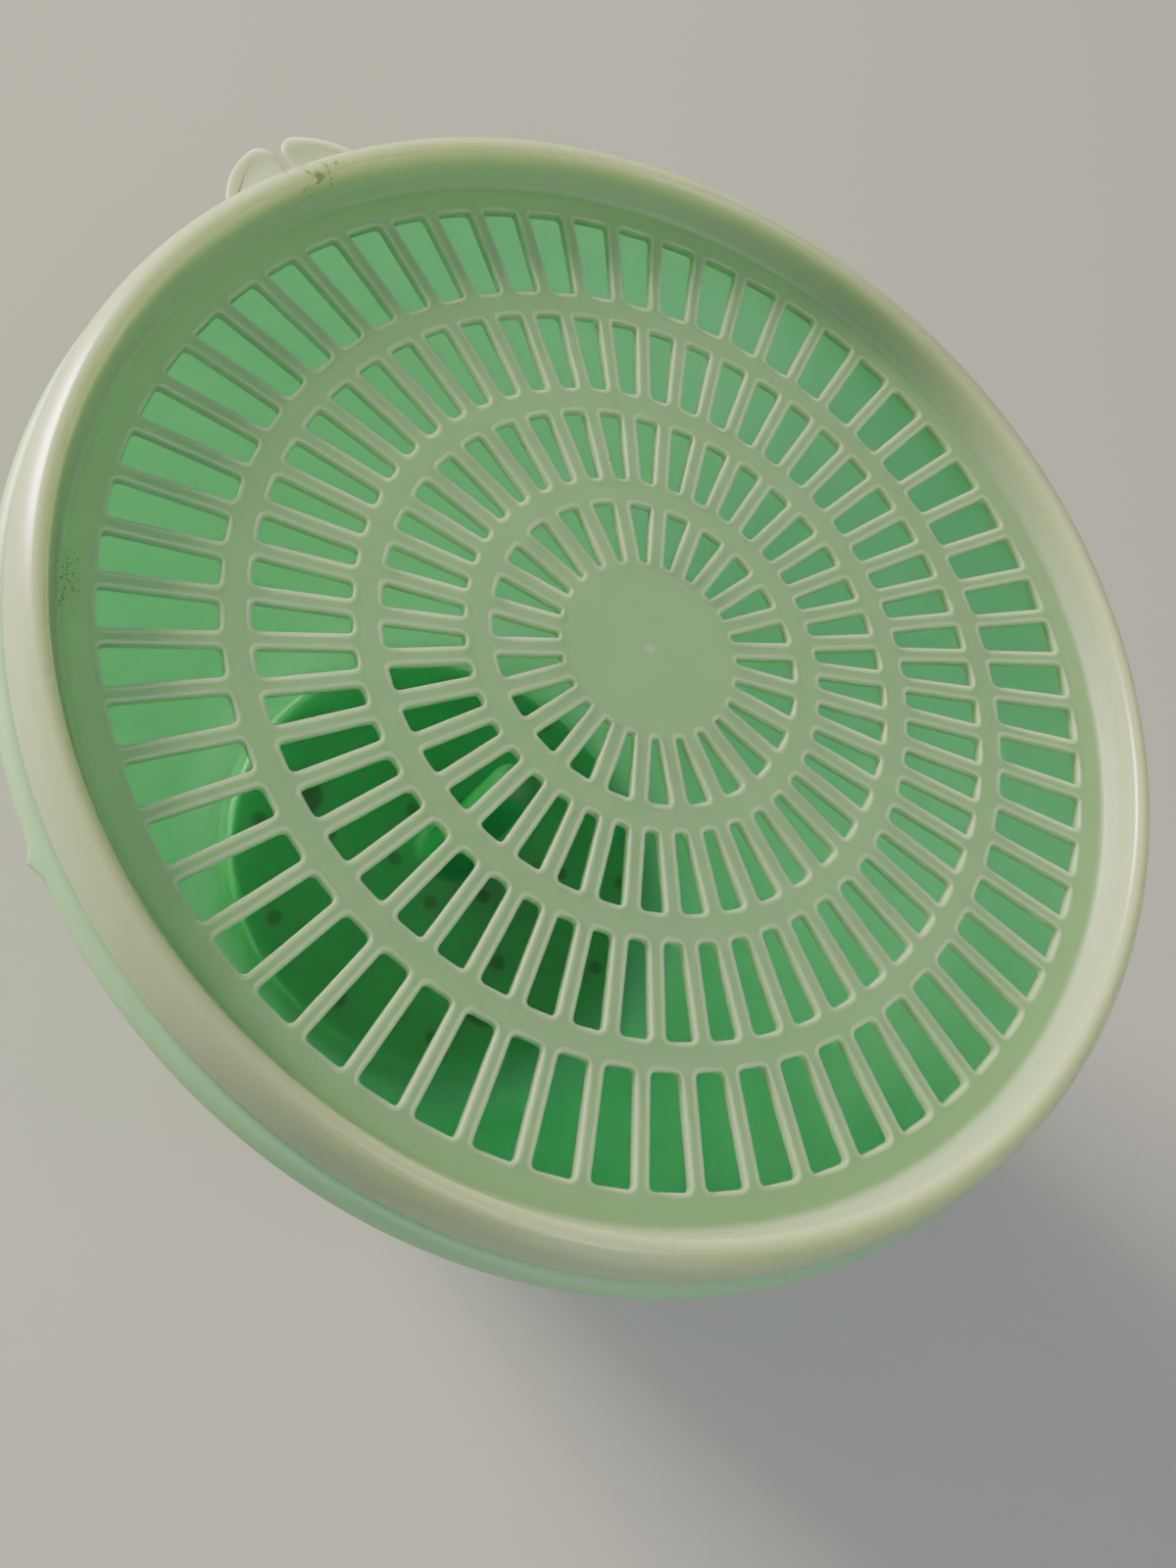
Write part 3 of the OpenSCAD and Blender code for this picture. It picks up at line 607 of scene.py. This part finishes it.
def natural_polyethylene():
    """Natural low-density polyethylene, moulded: milky and waxy, it lets the green below glow through and
    goes creamier where it is thick; on the plate that green glow is also painted into the colour, paler on
    the raised lips. It has a patch of pitting on the margin, scuffs by the tab and grit."""
    material, tree = new_material("natural_polyethylene")
    place = node(tree, "TexCoord").outputs["Object"]
    height = node(tree, "SeparateXYZ", {"Vector": place}).outputs["Z"]
    lip = node(tree, "MapRange", {
        "Value": height, "From Min": plate_z + 0.03 * MM, "From Max": plate_z + 0.22 * MM},
        interpolation_type="SMOOTHSTEP")
    crest = node(tree, "MapRange", {
        "Value": height, "From Min": plate_z + 2 * MM, "From Max": plate_z + 9 * MM})
    spread = node(tree, "VectorMath", {0: place, 1: (1, 1, 0)}, operation="MULTIPLY")
    spread = node(tree, "VectorMath", {0: spread.outputs["Vector"]}, operation="LENGTH")
    skirt = node(tree, "MapRange", {
        "Value": spread.outputs["Value"], "From Min": rim_r - 4 * MM, "From Max": rim_r})
    cream = node(tree, "Math", {0: crest.outputs["Result"], 1: skirt.outputs["Result"]}, operation="MAXIMUM")
    cloud = node(tree, "TexNoise", {"Vector": place, "Scale": 22, "Detail": 4, "Roughness": 0.55})
    # painted glow: the plate's green stands for light from the green bowl below, paler on the raised lips and
    # giving way to cream on the crest and skirt
    body = node(tree, "Mix", {
        "Factor": cloud.outputs["Fac"], "A": linear("#a2c595"), "B": linear("#adcea4")}, data_type="RGBA")
    lipped = node(tree, "Mix", {
        "Factor": lip.outputs["Result"], "A": body.outputs["Result"], "B": linear("#b8d2aa")}, data_type="RGBA")
    tinted = node(tree, "Mix", {
        "Factor": cream.outputs["Value"], "A": lipped.outputs["Result"], "B": linear("#d0deb0")},
        data_type="RGBA")

    pits = node(tree, "TexVoronoi", {"Vector": place, "Scale": 1300})
    shrunk = node(tree, "VectorMath", {0: place, 1: (1, 0.45, 1)}, operation="MULTIPLY")
    pit_patch = near(tree, shrunk.outputs["Vector"], (-0.1125, -0.0045, plate_z), 0.5 * MM, 6.5 * MM)
    wide = node(tree, "Math", {0: pit_patch, 1: 0.36}, operation="MULTIPLY")
    pitted = node(tree, "Math", {0: wide.outputs["Value"], 1: pits.outputs["Distance"]}, operation="SUBTRACT")
    pit = node(tree, "MapRange", {
        "Value": pitted.outputs["Value"], "From Min": 0.0, "From Max": 0.10, "To Max": 0.75})
    rubs = node(tree, "TexNoise", {"Vector": place, "Scale": 420, "Detail": 3, "Distortion": 0.6})
    rub_patch = near(tree, place, (-0.0785, 0.0895, plate_z + 9 * MM), 5 * MM, 7 * MM)
    rubbed = node(tree, "Math", {0: rubs.outputs["Fac"], 1: rub_patch}, operation="MULTIPLY")
    rub = node(tree, "MapRange", {
        "Value": rubbed.outputs["Value"], "From Min": 0.53, "From Max": 0.60, "To Max": 0.6})
    grit = node(tree, "TexVoronoi", {"Vector": place, "Scale": 34})
    speck = node(tree, "MapRange", {"Value": grit.outputs["Distance"], "From Min": 0.020, "From Max": 0.013})
    marks = node(tree, "Math", {0: pit.outputs["Result"], 1: rub.outputs["Result"]}, operation="MAXIMUM")
    marks = node(tree, "Math", {0: marks.outputs["Value"], 1: speck.outputs["Result"]}, operation="MAXIMUM")
    marked = node(tree, "Mix", {
        "Factor": marks.outputs["Value"], "A": tinted.outputs["Result"], "B": linear("#3f4a34")},
        data_type="RGBA")

    grain = node(tree, "TexNoise", {"Vector": place, "Scale": 900, "Detail": 3})
    gate = near(tree, place, (0, 0, plate_z), 0.5 * MM, 1.2 * MM)
    pale = node(tree, "Math", {0: gate, 1: 0.6}, operation="MULTIPLY")
    marked = node(tree, "Mix", {
        "Factor": pale.outputs["Value"], "A": marked.outputs["Result"], "B": linear("#e0e8d2")},
        data_type="RGBA")
    relief = node(tree, "Math", {0: grain.outputs["Fac"], 1: gate}, operation="ADD")
    rough = node(tree, "MapRange", {"Value": crest.outputs["Result"], "To Min": 0.50, "To Max": 0.27})
    bump = node(tree, "Bump", {"Height": relief.outputs["Value"], "Strength": 0.15, "Distance": 0.06 * MM})
    clear = node(tree, "MapRange", {"Value": crest.outputs["Result"], "To Min": 0.52, "To Max": 0.56})
    shader = node(tree, "BsdfPrincipled", {
        "Base Color": marked.outputs["Result"], "Roughness": rough.outputs["Result"],
        "IOR": 1.51, "Transmission Weight": clear.outputs["Result"], "Subsurface Weight": 1.0,
        "Subsurface Radius": (1.0, 1.0, 0.8), "Subsurface Scale": 10 * MM,
        "Normal": bump.outputs["Normal"]})
    node(tree, "OutputMaterial", {"Surface": shader.outputs["BSDF"]})
    return material


milky = natural_polyethylene()
strainer_lid_moulding.data.materials.append(milky)
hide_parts("strainer_lid")
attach(strainer_lid_moulding, "lid")

# ---- Pull tab ----
# Moulded with the lid: a half-moon at the foot of the rolled rim, parted by a slit into two lobes
# that a finger lifts to peel the lid off. It is thin, so it looks almost colourless.
tab_r = 20.6 * MM
tab_reach = 9 * MM
tab_t = 1.4 * MM
tab_turn = radians(129.75)
tab_z = plate_z - 2.6 * MM
nose_r = 3.5 * MM
half_slit = 1 * MM
tab_at = rim_r + tab_reach - tab_r
nose_y = half_slit + nose_r
nose_x = tab_at + sqrt((tab_r - nose_r) ** 2 - nose_y ** 2)
nose_turn = atan2(nose_y, nose_x - tab_at) * 180 / pi
root_x = roll_at[0] + roll_r * cos(radians(24)) - 0.7 * MM
root_turn = acos((root_x - tab_at) / tab_r) * 180 / pi
lobe_outline = (
    [(root_x, half_slit)]
    + arc((nose_x, nose_y), nose_r, -90, nose_turn, 7)
    + arc((tab_at, 0), tab_r, nose_turn + 4, root_turn, 12)
)


def tab_lobe(name, side):
    """One lobe: its outline is filled, thickened, its middle pressed thinner and its edge rounded."""
    lobe = trace(name, [(x, side * y) for x, y in lobe_outline], flat=True)
    bpy.ops.mesh.select_all(action="SELECT")
    bpy.ops.mesh.edge_face_add()
    bpy.ops.transform.translate(value=(0, 0, tab_z))
    bpy.ops.mesh.extrude_region_move(TRANSFORM_OT_translate={"value": (0, 0, tab_t)})
    bpy.ops.mesh.select_all(action="SELECT")
    bpy.ops.mesh.normals_make_consistent(inside=False)
    pick("edges", lambda e: abs(e.verts[0].co.z - e.verts[1].co.z) < 0.01 * MM)
    bpy.ops.mesh.bevel(offset=0.4 * MM, segments=3, affect="EDGES")
    pick("faces", lambda f: f.normal.z > 0.99 and f.calc_area() > 20 * MM * MM)
    bpy.ops.mesh.inset(thickness=0.5 * MM, depth=0)
    bpy.ops.mesh.inset(thickness=0.4 * MM, depth=-0.3 * MM)
    bpy.ops.object.mode_set(mode="OBJECT")
    lobe.rotation_euler.z = tab_turn
    bpy.ops.object.transform_apply(location=False, rotation=True, scale=False)
    return lobe


lobes = [tab_lobe("pull_tab", 1), tab_lobe("second_lobe", -1)]
for lobe in lobes:
    lobe.select_set(True)
pull_tab = lobes[0]
bpy.context.view_layer.objects.active = pull_tab
bpy.ops.object.join()
finish_mesh(pull_tab)
pull_tab.data.materials.append(milky)
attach(pull_tab, "lid")
